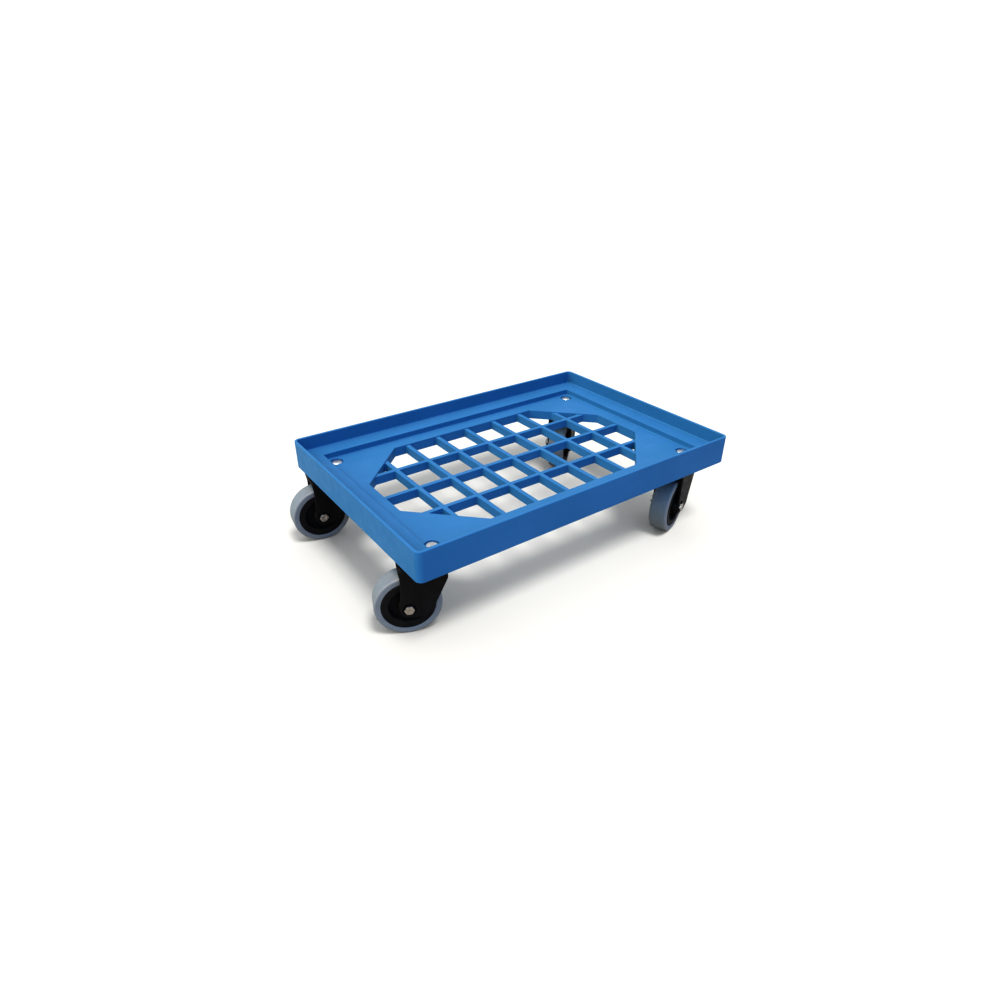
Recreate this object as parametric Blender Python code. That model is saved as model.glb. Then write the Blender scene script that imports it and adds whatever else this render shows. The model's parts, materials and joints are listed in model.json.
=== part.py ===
"""Platform trolley: a moulded crate tray carried by four swivel casters.

Every physical piece is its own object. X runs along the tray's long side, Y along its short side
and Z up. The origin is the top of the tray's middle rib crossing. The heights named below are
measured from the floor, and one parent empty lowers the whole trolley to put the origin there.
"""

from math import cos, hypot, pi, radians, sin, tan

import bmesh
import bpy
from mathutils import Matrix, Vector

MM = 0.001
GAP = 0.3 * MM  # clearance left between neighbouring solids

# Tray, outside
TRAY_LENGTH = 610 * MM
TRAY_WIDTH = 410 * MM
TRAY_TOP = 168 * MM
TRAY_DEPTH = 48 * MM
TRAY_CORNER_RADIUS = 10 * MM
WALL = 4.2 * MM

# Tray, inside: a ledge for the crate, a sunk floor and an eight-sided rib grid
LEDGE_DROP = 23.6 * MM
LEDGE_REACH = 36 * MM
FLOOR_DROP = 33.8 * MM
SHELL = 4 * MM
OPENING_HALF_X = 245 * MM
OPENING_HALF_Y = 144 * MM
CHAMFER_X = 95.4 * MM
CHAMFER_Y = 94.3 * MM
RIB_PITCH_X = 61.7 * MM
RIB_PITCH_Y = 72.9 * MM
RIB_STEPS_X = (-3, -2, -1, 0, 1, 2, 3)
RIB_STEPS_Y = (-1, 0, 1)
RIB = 7.5 * MM
RIB_SINK = 2 * MM
RIB_DEPTH = 15.2 * MM
UNDER_RIB = 3 * MM
UNDER_RIB_LIFT = 8 * MM
PIN_HOLE_X = 293.4 * MM
PIN_HOLE_Y = 175.5 * MM
PIN_HOLE_RADIUS = 2 * MM

# Casters: the swivel axis of each, and how far its wheel trails it
KINGPIN_X = 253.6 * MM
KINGPIN_Y = 153.3 * MM
TRAIL = 38.4 * MM
CORNERS = {
    "front_left": (-1, -1, 157.6),
    "front_right": (1, -1, 200.5),
    "rear_left": (-1, 1, 171.5),
    "rear_right": (1, 1, 217.0),
}

# Wheel
WHEEL_RADIUS = 48 * MM
TYRE_HALF_WIDTH = 15.3 * MM
TREAD_HALF_WIDTH = 12 * MM
SHOULDER = 3.2 * MM
RIM_FLANGE_RADIUS = 38.1 * MM
RIM_SEAT_RADIUS = 36 * MM
RIM_FLANGE_INNER = 28 * MM
RIM_HALF_WIDTH = 15.6 * MM
RIM_FLANGE_WIDTH = 4 * MM
WEB_HALF_WIDTH = 6 * MM
HUB_RADIUS = 13 * MM
HUB_HALF_WIDTH = 18.5 * MM
BUSHING_RADIUS = 8.7 * MM
BUSHING_HALF_WIDTH = 18 * MM
SLEEVE_RADIUS = 6 * MM

# Fork: a moulded upside-down U, with a round pocket for each end of the axle bolt
FORK_WALL = 4 * MM
FORK_HALF_WIDTH = 24 * MM
FORK_BEND = 6 * MM
POCKET_RADIUS = 10 * MM
POCKET_DEPTH = 2 * MM
CROWN_RADIUS = 26 * MM
CROWN_BORE = 12 * MM
SEAT = FORK_HALF_WIDTH - POCKET_DEPTH  # where the bolt head and the nut bear, from the wheel's middle

# Fasteners
AXLE_RADIUS = 4 * MM
AXLE_HEX = 13 * MM
AXLE_HEAD = 4.6 * MM
AXLE_NUT = 6.5 * MM
AXLE_END = 30 * MM
KINGPIN_RADIUS = 5 * MM
KINGPIN_HEAD_RADIUS = 9.3 * MM
KINGPIN_HEX = 17 * MM
COUNTERBORE_RADIUS = 11 * MM
COUNTERBORE_DEPTH = 3.5 * MM
BOSS_RADIUS = 23 * MM

# Heights above the floor, from the tray down the kingpin
TRAY_BOTTOM = TRAY_TOP - TRAY_DEPTH
LEDGE_TOP = TRAY_TOP - LEDGE_DROP
FLOOR_TOP = TRAY_TOP - FLOOR_DROP
FLOOR_UNDERSIDE = FLOOR_TOP - SHELL
GRID_TOP = FLOOR_TOP - RIB_SINK
GRID_BOTTOM = GRID_TOP - RIB_DEPTH
BOSS_BOTTOM = 124 * MM
RACE_SHEET = 3 * MM
TOP_RACE_TOP = BOSS_BOTTOM - GAP
TOP_RACE_RADIUS = 26 * MM
TOP_BALL_RADIUS = 2.4 * MM
TOP_BALL_CIRCLE = 18 * MM
TOP_RACE_UNDERSIDE = TOP_RACE_TOP - RACE_SHEET
CROWN_TOP = TOP_RACE_UNDERSIDE - 2 * TOP_BALL_RADIUS - 2 * GAP
CROWN_UNDERSIDE = CROWN_TOP - FORK_WALL
LOWER_BALL_RADIUS = 2 * MM
LOWER_BALL_CIRCLE = 13 * MM
LOWER_RACE_TOP = CROWN_UNDERSIDE - 2 * LOWER_BALL_RADIUS - 2 * GAP
LOWER_RACE_RADIUS = 16.5 * MM
LOWER_RACE_UNDERSIDE = LOWER_RACE_TOP - RACE_SHEET
WASHER_TOP = LOWER_RACE_UNDERSIDE - GAP
WASHER_RADIUS = 10 * MM
WASHER_THICKNESS = 1.5 * MM
NUT_TOP = WASHER_TOP - WASHER_THICKNESS - GAP
NUT_HEIGHT = 8 * MM
KINGPIN_BOTTOM = NUT_TOP - NUT_HEIGHT - 2 * MM
HUB_TUBE_RADIUS = 9 * MM

# The colour, roughness and metallic value of each material
MATERIALS = {
    "tray_plastic": ((0.05, 0.22, 0.55), 0.45, 0.0),
    "tyre_rubber": ((0.32, 0.36, 0.42), 0.7, 0.0),
    "rim_plastic": ((0.012, 0.011, 0.010), 0.4, 0.0),
    "fork_plastic": ((0.015, 0.013, 0.012), 0.38, 0.0),
    "zinc_steel": ((0.62, 0.6, 0.57), 0.32, 1.0),
    "bearing_steel": ((0.5, 0.5, 0.5), 0.25, 1.0),
    "bushing_plastic": ((0.75, 0.73, 0.68), 0.5, 0.0),
}


def clear_scene():
    for old in list(bpy.data.objects):
        bpy.data.objects.remove(old)


def make_material(name):
    colour, roughness, metallic = MATERIALS[name]
    material = bpy.data.materials.new(name)
    material.use_nodes = True
    shader = material.node_tree.nodes["Principled BSDF"]
    shader.inputs["Base Color"].default_value = (*colour, 1)
    shader.inputs["Roughness"].default_value = roughness
    shader.inputs["Metallic"].default_value = metallic
    return material


def rounded_outline(corners, radii, steps=3):
    """The counter-clockwise polygon of these corners, each rounded to its radius where that isn't 0."""
    points = []
    for i, corner in enumerate(corners):
        here = Vector(corner)
        back = (Vector(corners[i - 1]) - here).normalized()
        ahead = (Vector(corners[(i + 1) % len(corners)]) - here).normalized()
        if radii[i] == 0:
            points.append(here)
            continue
        half_angle = back.angle(ahead) / 2
        tangent = radii[i] / tan(half_angle)
        centre = here + (back + ahead).normalized() * (radii[i] / sin(half_angle))
        start = here + back * tangent - centre
        sweep = start.angle_signed(here + ahead * tangent - centre)
        for step in range(steps + 1):
            points.append(centre + Matrix.Rotation(-sweep * step / steps, 2) @ start)
    return points


def rectangle(half_x, half_y, radius=0.0):
    corners = [(-half_x, -half_y), (half_x, -half_y), (half_x, half_y), (-half_x, half_y)]
    return rounded_outline(corners, [radius] * 4)


def octagon(half_x, half_y, grow=0.0):
    """The opening's outline, with every side moved out by grow."""
    slope = hypot(CHAMFER_X, CHAMFER_Y)
    cut_x = CHAMFER_X + grow * (1 + (CHAMFER_X - slope) / CHAMFER_Y)
    cut_y = CHAMFER_Y + grow * (1 + (CHAMFER_Y - slope) / CHAMFER_X)
    x, y = half_x + grow, half_y + grow
    right = [(x - cut_x, -y), (x, cut_y - y), (x, y - cut_y), (x - cut_x, y)]
    left = [(-px, py) for px, py in reversed(right)]
    return [Vector(point) for point in right + left]


def clipped(polygon, limit):
    """The part of a convex polygon that lies inside another, both counter-clockwise."""
    for i, start in enumerate(limit):
        edge = limit[(i + 1) % len(limit)] - start
        normal = Vector((-edge.y, edge.x)).normalized()
        kept = []
        for j, point in enumerate(polygon):
            before = polygon[j - 1]
            here, last = (point - start).dot(normal), (before - start).dot(normal)
            if (here > 0) != (last > 0):
                kept.append(before.lerp(point, last / (last - here)))
            if here > 0:
                kept.append(point)
        polygon = kept
    return polygon


def add_prism(bm, outline, low, high):
    base = bm.faces.new([bm.verts.new((point[0], point[1], low)) for point in outline])
    top = bmesh.ops.extrude_face_region(bm, geom=[base])["geom"]
    moved = [item for item in top if isinstance(item, bmesh.types.BMVert)]
    bmesh.ops.translate(bm, verts=moved, vec=(0, 0, high - low))


def finish_object(name, bm, material=None, parent=None, smooth=False):
    bmesh.ops.recalc_face_normals(bm, faces=bm.faces)
    mesh = bpy.data.meshes.new(name)
    bm.to_mesh(mesh)
    bm.free()
    if smooth:
        mesh.shade_smooth()
        mesh.set_sharp_from_angle(angle=radians(35))
    made = bpy.data.objects.new(name, mesh)
    bpy.context.scene.collection.objects.link(made)
    made.parent = parent
    if material:
        mesh.materials.append(material)
    else:
        made.hide_render = True
        made.display_type = "WIRE"
    return made


def make_prisms(name, outlines, low, high, material=None, parent=None):
    bm = bmesh.new()
    for outline in outlines:
        add_prism(bm, outline, low, high)
    return finish_object(name, bm, material, parent)


def make_turned(name, profile, segments, material=None, parent=None, ring=True):
    """A piece turned about Z from (radius, height) points. A ring's profile is a closed loop."""
    bm = bmesh.new()
    verts = [bm.verts.new((radius, 0, height)) for radius, height in profile]
    edges = [bm.edges.new(pair) for pair in zip(verts, verts[1:])]
    if ring:
        edges.append(bm.edges.new((verts[-1], verts[0])))
    bmesh.ops.spin(
        bm, geom=verts + edges, cent=(0, 0, 0), axis=(0, 0, 1), angle=2 * pi, steps=segments, use_merge=True
    )
    bmesh.ops.remove_doubles(bm, verts=bm.verts, dist=1e-6)
    return finish_object(name, bm, material, parent, smooth=True)


def combine(target, tool, operation):
    modifier = target.modifiers.new(f"{operation.lower()}_{tool.name}", "BOOLEAN")
    modifier.operation = operation
    modifier.object = tool
    modifier.solver = "EXACT"
    tool.hide_render = True
    tool.display_type = "WIRE"
    tool.parent = target
    return target


def box(low_x, high_x, low_y, high_y):
    return [(low_x, low_y), (high_x, low_y), (high_x, high_y), (low_x, high_y)]


def tube(inner, outer, low, high):
    """The closed profile of a plain ring."""
    return [(inner, low), (outer, low), (outer, high), (inner, high)]


def circle(radius, steps, centre=(0, 0)):
    turns = [2 * pi * step / steps for step in range(steps)]
    return [(centre[0] + radius * cos(turn), centre[1] + radius * sin(turn)) for turn in turns]


def at_corners(x, y):
    return [(sign_x * x, sign_y * y) for sign_x, sign_y, _ in CORNERS.values()]


def grid_ribs():
    """The outlines of the ribs across the tray and of those along it, ending inside the opening's wall."""
    reach = octagon(OPENING_HALF_X, OPENING_HALF_Y, SHELL / 2)
    across, along = [], []
    for step in RIB_STEPS_X:
        x = step * RIB_PITCH_X
        across.append(box(x - RIB / 2, x + RIB / 2, -TRAY_WIDTH / 2, TRAY_WIDTH / 2))
    for step in RIB_STEPS_Y:
        y = step * RIB_PITCH_Y
        along.append(box(-TRAY_LENGTH / 2, TRAY_LENGTH / 2, y - RIB / 2, y + RIB / 2))
    return [[clipped([Vector(point) for point in rib], reach) for rib in ribs] for ribs in (across, along)]


def tray_hollow(over):
    """The space under the tray: all that lies inside its walls, less what is left to carry load."""
    inner_x, inner_y = TRAY_LENGTH / 2 - WALL, TRAY_WIDTH / 2 - WALL
    radius = TRAY_CORNER_RADIUS - WALL
    ledge_underside = LEDGE_TOP - SHELL
    hollow = make_prisms(
        "cut_underside", [rectangle(inner_x, inner_y, radius)], TRAY_BOTTOM - over, ledge_underside
    )
    step_x = TRAY_LENGTH / 2 - LEDGE_REACH + SHELL
    step_y = TRAY_WIDTH / 2 - LEDGE_REACH + SHELL
    floor = make_prisms("keep_floor", [rectangle(step_x, step_y)], FLOOR_UNDERSIDE, LEDGE_TOP)
    combine(hollow, floor, "DIFFERENCE")
    border = octagon(OPENING_HALF_X, OPENING_HALF_Y, SHELL)
    wall = make_prisms("keep_opening_wall", [border], TRAY_BOTTOM - 2 * over, FLOOR_TOP)
    combine(hollow, wall, "DIFFERENCE")
    bosses = [circle(BOSS_RADIUS, 16, centre) for centre in at_corners(KINGPIN_X, KINGPIN_Y)]
    combine(hollow, make_prisms("keep_bosses", bosses, BOSS_BOTTOM, LEDGE_TOP), "DIFFERENCE")
    half = UNDER_RIB / 2
    across, along = [], []
    for step in RIB_STEPS_X:
        x = step * RIB_PITCH_X
        across.append(box(x - half, x + half, -inner_y - half, inner_y + half))
    for step in RIB_STEPS_Y:
        y = step * RIB_PITCH_Y
        along.append(box(-inner_x - half, inner_x + half, y - half, y + half))
    for x, y in at_corners(KINGPIN_X, KINGPIN_Y):
        out_x = inner_x + half if x > 0 else -inner_x - half
        out_y = inner_y + half if y > 0 else -inner_y - half
        across.append(box(x - half, x + half, min(y, out_y), max(y, out_y)))
        along.append(box(min(x, out_x), max(x, out_x), y - half, y + half))
    rib_bottom = TRAY_BOTTOM + UNDER_RIB_LIFT
    combine(hollow, make_prisms("keep_ribs_across", across, rib_bottom, LEDGE_TOP), "DIFFERENCE")
    combine(hollow, make_prisms("keep_ribs_along", along, rib_bottom, LEDGE_TOP), "DIFFERENCE")
    return hollow


def make_tray(material, parent):
    over = 1 * MM  # how far each cutter passes the face that it opens
    half_x, half_y = TRAY_LENGTH / 2, TRAY_WIDTH / 2
    outline = rectangle(half_x, half_y, TRAY_CORNER_RADIUS)
    tray = make_prisms("tray", [outline], TRAY_BOTTOM, TRAY_TOP, material, parent)
    seat = rectangle(half_x - WALL, half_y - WALL, TRAY_CORNER_RADIUS - WALL)
    recess = rectangle(half_x - LEDGE_REACH, half_y - LEDGE_REACH, 3 * MM)
    opening = octagon(OPENING_HALF_X, OPENING_HALF_Y)
    kingpins = at_corners(KINGPIN_X, KINGPIN_Y)
    bores = [circle(KINGPIN_RADIUS + GAP, 12, centre) for centre in kingpins]
    sinks = [circle(COUNTERBORE_RADIUS, 20, centre) for centre in kingpins]
    pins = [circle(PIN_HOLE_RADIUS, 8, centre) for centre in at_corners(PIN_HOLE_X, PIN_HOLE_Y)]
    cutters = [
        make_prisms("cut_crate_seat", [seat], LEDGE_TOP, TRAY_TOP + over),
        make_prisms("cut_floor_recess", [recess], FLOOR_TOP, LEDGE_TOP + over),
        make_prisms("cut_kingpin_bores", bores, TRAY_BOTTOM, FLOOR_TOP),
        make_prisms("cut_counterbores", sinks, FLOOR_TOP - COUNTERBORE_DEPTH, FLOOR_TOP + over),
        make_prisms("cut_pin_holes", pins, FLOOR_TOP, LEDGE_TOP + over),
        tray_hollow(over),
    ]
    for cutter in cutters:
        combine(tray, cutter, "DIFFERENCE")
    border = octagon(OPENING_HALF_X, OPENING_HALF_Y, SHELL)
    combine(tray, make_prisms("add_opening_wall", [border], GRID_BOTTOM, FLOOR_UNDERSIDE), "UNION")
    hole = make_prisms("cut_opening", [opening], GRID_BOTTOM - over, FLOOR_TOP + over)
    combine(tray, hole, "DIFFERENCE")
    for direction, ribs in zip(("across", "along"), grid_ribs()):
        made = make_prisms(f"add_ribs_{direction}", ribs, GRID_BOTTOM, GRID_TOP)
        combine(tray, made, "UNION")
    return tray


def make_kingpin_bolt(name, material, parent):
    head_bottom = FLOOR_TOP - COUNTERBORE_DEPTH + GAP
    profile = [
        (0, head_bottom + 3.4 * MM),
        (KINGPIN_HEAD_RADIUS * 0.55, head_bottom + 2.9 * MM),
        (KINGPIN_HEAD_RADIUS * 0.9, head_bottom + 1.7 * MM),
        (KINGPIN_HEAD_RADIUS, head_bottom),
        (KINGPIN_RADIUS, head_bottom),
        (KINGPIN_RADIUS, KINGPIN_BOTTOM),
        (0, KINGPIN_BOTTOM),
    ]
    return make_turned(name, profile, 16, material, parent, ring=False)


def make_top_race(name, material, parent):
    """The fixed cup under the tray: a plate with a skirt outside the balls and a neck inside them."""
    skirt = 2.5 * MM
    bore = KINGPIN_RADIUS + GAP
    profile = [
        (bore, TOP_RACE_TOP),
        (bore, LOWER_RACE_TOP + GAP),
        (HUB_TUBE_RADIUS, LOWER_RACE_TOP + GAP),
        (HUB_TUBE_RADIUS, TOP_RACE_UNDERSIDE),
        (TOP_RACE_RADIUS - skirt, TOP_RACE_UNDERSIDE),
        (TOP_RACE_RADIUS - skirt, CROWN_TOP + 1 * MM),
        (TOP_RACE_RADIUS, CROWN_TOP + 1 * MM),
        (TOP_RACE_RADIUS, TOP_RACE_TOP - 1.5 * MM),
        (TOP_RACE_RADIUS - 1.5 * MM, TOP_RACE_TOP),
    ]
    return make_turned(name, profile, 20, material, parent)


def make_lower_race(name, material, parent):
    lip = 1.2 * MM
    bore = KINGPIN_RADIUS + GAP
    profile = [
        (bore, LOWER_RACE_UNDERSIDE),
        (LOWER_RACE_RADIUS, LOWER_RACE_UNDERSIDE),
        (LOWER_RACE_RADIUS, CROWN_UNDERSIDE - 1 * MM),
        (LOWER_RACE_RADIUS - lip, CROWN_UNDERSIDE - 1 * MM),
        (LOWER_RACE_RADIUS - lip, LOWER_RACE_TOP),
        (bore, LOWER_RACE_TOP),
    ]
    return make_turned(name, profile, 14, material, parent)


def make_ball_ring(name, circle_radius, ball_radius, height, material, parent):
    """One ring of balls in its cage, as a plain round ring."""
    profile = [(circle_radius + x, height + z) for x, z in circle(ball_radius, 6)]
    return make_turned(name, profile, 12, material, parent)


def make_hex_ring(name, across_flats, bore, low, high, material, parent):
    corners = circle(across_flats / 2 / cos(pi / 6), 6)
    made = make_prisms(name, [corners], low, high, material, parent)
    return combine(made, make_prisms(f"cut_bore_{name}", [circle(bore, 12)], low - MM, high + MM), "DIFFERENCE")


def fork_profile():
    """The outside and the inside of the U, seen along the wheel's travel, as (across, height) points."""
    outer = FORK_HALF_WIDTH
    inner = outer - FORK_WALL
    foot = 20 * MM
    outside = [(-outer, foot), (outer, foot), (outer, CROWN_TOP), (-outer, CROWN_TOP)]
    inside = [(-inner, foot - MM), (inner, foot - MM), (inner, CROWN_UNDERSIDE), (-inner, CROWN_UNDERSIDE)]
    bend = FORK_BEND - FORK_WALL
    return (
        rounded_outline(outside, [0, 0, FORK_BEND, FORK_BEND]),
        rounded_outline(inside, [0, 0, bend, bend]),
    )


def leg_outline():
    """The fork leg seen from the side, as (distance behind the kingpin, height) points."""
    axle = WHEEL_RADIUS
    corners = [
        (-17 * MM, CROWN_TOP + MM),
        (-17 * MM, axle + 45 * MM),
        (2 * MM, axle + 3 * MM),
        (4 * MM, axle - 6 * MM),
        (19 * MM, axle - 15 * MM),
        (TRAIL + 12 * MM, axle - 13 * MM),
        (TRAIL + 10 * MM, axle + 50 * MM),
        (TRAIL + 13 * MM, CROWN_TOP + MM),
    ]
    radii = [0, 12 * MM, 12 * MM, 9 * MM, 12 * MM, 11 * MM, 20 * MM, 0]
    return rounded_outline(corners, radii)


def turn_mesh(made, turn):
    made.data.transform(turn)
    return made


def make_fork(name, material, parent):
    """The moulded fork. Its own X runs from the kingpin towards the wheel."""
    front, rear = -30 * MM, TRAIL + 30 * MM
    outside, inside = fork_profile()
    # A prism is drawn in (x, y) and raised along z: this turns that to (y, z) raised along x.
    stand_up = Matrix(((0, 0, 1, 0), (1, 0, 0, 0), (0, 1, 0, 0), (0, 0, 0, 1)))
    # And this turns it to (x, z) raised along -y.
    on_side = Matrix(((1, 0, 0, 0), (0, 0, -1, 0), (0, 1, 0, 0), (0, 0, 0, 1)))
    fork = turn_mesh(make_prisms(name, [outside], front, rear, material, parent), stand_up)
    slot = turn_mesh(make_prisms(f"cut_slot_{name}", [inside], front - MM, rear + MM), stand_up)
    combine(fork, slot, "DIFFERENCE")
    wide = FORK_HALF_WIDTH + 5 * MM
    side = turn_mesh(make_prisms(f"keep_side_{name}", [leg_outline()], -wide, wide), on_side)
    combine(fork, side, "INTERSECT")
    crown = make_prisms(f"add_crown_{name}", [circle(CROWN_RADIUS, 24)], CROWN_UNDERSIDE, CROWN_TOP)
    combine(fork, crown, "UNION")
    bore = make_prisms(f"cut_crown_bore_{name}", [circle(CROWN_BORE, 16)], CROWN_UNDERSIDE - MM, CROWN_TOP + MM)
    combine(fork, bore, "DIFFERENCE")
    axle_hole = circle(AXLE_RADIUS + GAP, 12, (TRAIL, WHEEL_RADIUS))
    axle = turn_mesh(make_prisms(f"cut_axle_{name}", [axle_hole], -wide, wide), on_side)
    combine(fork, axle, "DIFFERENCE")
    pocket_outline = circle(POCKET_RADIUS, 16, (TRAIL, WHEEL_RADIUS))
    for side_name, low, high in (("head", -wide, -SEAT), ("nut", SEAT, wide)):
        pocket = make_prisms(f"cut_{side_name}_pocket_{name}", [pocket_outline], low, high)
        combine(fork, turn_mesh(pocket, on_side), "DIFFERENCE")
    return fork


def make_tyre(name, material, parent):
    bore_edge = RIM_HALF_WIDTH - RIM_FLANGE_WIDTH - GAP
    seat, flange = RIM_SEAT_RADIUS + GAP, RIM_FLANGE_RADIUS + GAP
    side = [
        (seat, bore_edge),
        (flange, bore_edge),
        (flange, TYRE_HALF_WIDTH),
        (WHEEL_RADIUS - SHOULDER, TYRE_HALF_WIDTH),
        (WHEEL_RADIUS - SHOULDER * 0.3, TYRE_HALF_WIDTH - 0.3 * (TYRE_HALF_WIDTH - TREAD_HALF_WIDTH)),
        (WHEEL_RADIUS, TREAD_HALF_WIDTH),
    ]
    profile = side + [(radius, -height) for radius, height in reversed(side)]
    return make_turned(name, profile, 32, material, parent)


def make_rim(name, material, parent):
    """The moulded wheel centre: a seat for the tyre, two flanges, a thin web and the hub."""
    bore = BUSHING_RADIUS + GAP
    inner_edge = RIM_HALF_WIDTH - RIM_FLANGE_WIDTH
    side = [
        (bore, HUB_HALF_WIDTH),
        (HUB_RADIUS, HUB_HALF_WIDTH),
        (HUB_RADIUS + 1.5 * MM, WEB_HALF_WIDTH),
        (RIM_FLANGE_INNER - 1.5 * MM, WEB_HALF_WIDTH),
        (RIM_FLANGE_INNER, RIM_HALF_WIDTH),
        (RIM_FLANGE_RADIUS, RIM_HALF_WIDTH),
        (RIM_FLANGE_RADIUS, inner_edge),
        (RIM_SEAT_RADIUS, inner_edge),
    ]
    profile = side + [(radius, -height) for radius, height in reversed(side)]
    return make_turned(name, profile, 24, material, parent)


def make_axle_bolt(name, material, parent):
    """The bolt through both legs, turned about its own Z, with its hexagon head at the top."""
    seat = SEAT + GAP
    corners = circle(AXLE_HEX / 2 / cos(pi / 6), 6)
    bolt = make_prisms(name, [corners], seat, seat + AXLE_HEAD, material, parent)
    shank = make_prisms(f"add_shank_{name}", [circle(AXLE_RADIUS, 12)], -AXLE_END, seat + MM)
    return combine(bolt, shank, "UNION")


def make_caster(corner, trolley, materials):
    sign_x, sign_y, heading = CORNERS[corner]
    zinc, steel, fork_plastic = (materials[n] for n in ("zinc_steel", "bearing_steel", "fork_plastic"))

    fixed = bpy.data.objects.new(f"kingpin_axis_{corner}", None)
    fixed.parent = trolley
    fixed.location = (sign_x * KINGPIN_X, sign_y * KINGPIN_Y, 0)
    swivel = bpy.data.objects.new(f"swivel_axis_{corner}", None)
    swivel.parent = fixed
    swivel.rotation_euler.z = radians(heading)
    wheel = bpy.data.objects.new(f"wheel_axis_{corner}", None)
    wheel.parent = swivel
    wheel.location = (TRAIL, 0, WHEEL_RADIUS)
    wheel.rotation_euler.x = -pi / 2
    for empty in (fixed, swivel, wheel):
        bpy.context.scene.collection.objects.link(empty)

    kingpin_bore = KINGPIN_RADIUS + GAP
    washer = tube(kingpin_bore, WASHER_RADIUS, WASHER_TOP - WASHER_THICKNESS, WASHER_TOP)
    top_ball_height = CROWN_TOP + GAP + TOP_BALL_RADIUS
    lower_ball_height = LOWER_RACE_TOP + GAP + LOWER_BALL_RADIUS
    make_kingpin_bolt(f"kingpin_bolt_{corner}", zinc, fixed)
    make_top_race(f"top_race_{corner}", zinc, fixed)
    make_lower_race(f"lower_race_{corner}", zinc, fixed)
    make_turned(f"kingpin_washer_{corner}", washer, 14, zinc, fixed)
    make_hex_ring(
        f"kingpin_nut_{corner}", KINGPIN_HEX, kingpin_bore, NUT_TOP - NUT_HEIGHT, NUT_TOP, zinc, fixed
    )
    make_ball_ring(f"top_balls_{corner}", TOP_BALL_CIRCLE, TOP_BALL_RADIUS, top_ball_height, steel, swivel)
    make_ball_ring(
        f"lower_balls_{corner}", LOWER_BALL_CIRCLE, LOWER_BALL_RADIUS, lower_ball_height, steel, swivel
    )
    make_fork(f"fork_{corner}", fork_plastic, swivel)

    # The pieces on the axle are turned about their own Z, which the wheel's empty lays across the fork.
    axle_bore = AXLE_RADIUS + GAP
    nut_seat = -SEAT - GAP
    sleeve_half = FORK_HALF_WIDTH - FORK_WALL - GAP
    sleeve = tube(axle_bore, SLEEVE_RADIUS, -sleeve_half, sleeve_half)
    bushing = tube(SLEEVE_RADIUS + GAP, BUSHING_RADIUS, -BUSHING_HALF_WIDTH, BUSHING_HALF_WIDTH)
    make_axle_bolt(f"axle_bolt_{corner}", zinc, wheel)
    make_hex_ring(f"axle_nut_{corner}", AXLE_HEX, axle_bore, nut_seat - AXLE_NUT, nut_seat, zinc, wheel)
    make_turned(f"axle_sleeve_{corner}", sleeve, 10, zinc, wheel)
    make_turned(f"hub_bushing_{corner}", bushing, 12, materials["bushing_plastic"], wheel)
    make_rim(f"wheel_rim_{corner}", materials["rim_plastic"], wheel)
    make_tyre(f"tyre_{corner}", materials["tyre_rubber"], wheel)


def main():
    clear_scene()
    materials = {name: make_material(name) for name in MATERIALS}
    trolley = bpy.data.objects.new("trolley_origin", None)
    trolley.location.z = -GRID_TOP
    bpy.context.scene.collection.objects.link(trolley)
    make_tray(materials["tray_plastic"], trolley)
    for corner in CORNERS:
        make_caster(corner, trolley, materials)


main()
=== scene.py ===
"""The looks of the platform trolley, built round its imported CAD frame.

Each shown piece stands for one CAD node and rides on the same body. Heights named below are
measured from the floor. Pieces are made standing on the floor or about their own axis, and are
set in place from the frame's joints, so the frame alone says where each caster is.
"""

import json
from math import cos, hypot, pi, radians, sin, tan

import bmesh
import bpy
from mathutils import Matrix, Vector

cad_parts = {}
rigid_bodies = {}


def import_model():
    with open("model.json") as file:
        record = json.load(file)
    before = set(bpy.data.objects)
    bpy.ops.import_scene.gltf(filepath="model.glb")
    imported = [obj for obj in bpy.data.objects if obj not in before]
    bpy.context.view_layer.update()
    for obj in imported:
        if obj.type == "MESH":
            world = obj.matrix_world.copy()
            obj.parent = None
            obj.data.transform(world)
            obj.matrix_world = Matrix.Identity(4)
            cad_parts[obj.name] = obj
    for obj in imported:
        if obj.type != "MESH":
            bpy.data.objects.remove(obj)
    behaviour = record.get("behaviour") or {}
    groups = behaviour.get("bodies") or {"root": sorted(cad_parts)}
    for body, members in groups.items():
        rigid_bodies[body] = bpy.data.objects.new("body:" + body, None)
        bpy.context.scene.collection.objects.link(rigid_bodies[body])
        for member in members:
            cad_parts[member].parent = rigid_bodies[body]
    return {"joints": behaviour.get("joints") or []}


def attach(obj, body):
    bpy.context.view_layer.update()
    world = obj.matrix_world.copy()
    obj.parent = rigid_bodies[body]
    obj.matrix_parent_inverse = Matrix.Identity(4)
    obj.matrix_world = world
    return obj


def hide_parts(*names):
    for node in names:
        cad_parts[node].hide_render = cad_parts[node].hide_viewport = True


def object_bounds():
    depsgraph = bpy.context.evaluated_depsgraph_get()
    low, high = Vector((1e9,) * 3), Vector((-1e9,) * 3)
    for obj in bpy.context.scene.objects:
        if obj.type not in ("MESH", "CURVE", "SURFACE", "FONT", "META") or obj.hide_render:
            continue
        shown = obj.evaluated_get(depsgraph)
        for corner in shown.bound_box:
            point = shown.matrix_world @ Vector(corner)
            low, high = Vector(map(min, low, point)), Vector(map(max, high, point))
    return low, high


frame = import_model()
cad_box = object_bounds()

MM = 0.001
GAP = 0.3 * MM  # clearance left between neighbouring pieces
EDGE_ROUND = 0.8 * MM
CORNER_STEPS = 10
ROUND_STEPS = 4
HOLE_STEPS = 48
BORE_STEPS = 32
TURNED_STEPS = 96
WHEEL_STEPS = 128
CORNERS = ("front_left", "front_right", "rear_left", "rear_right")

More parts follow.
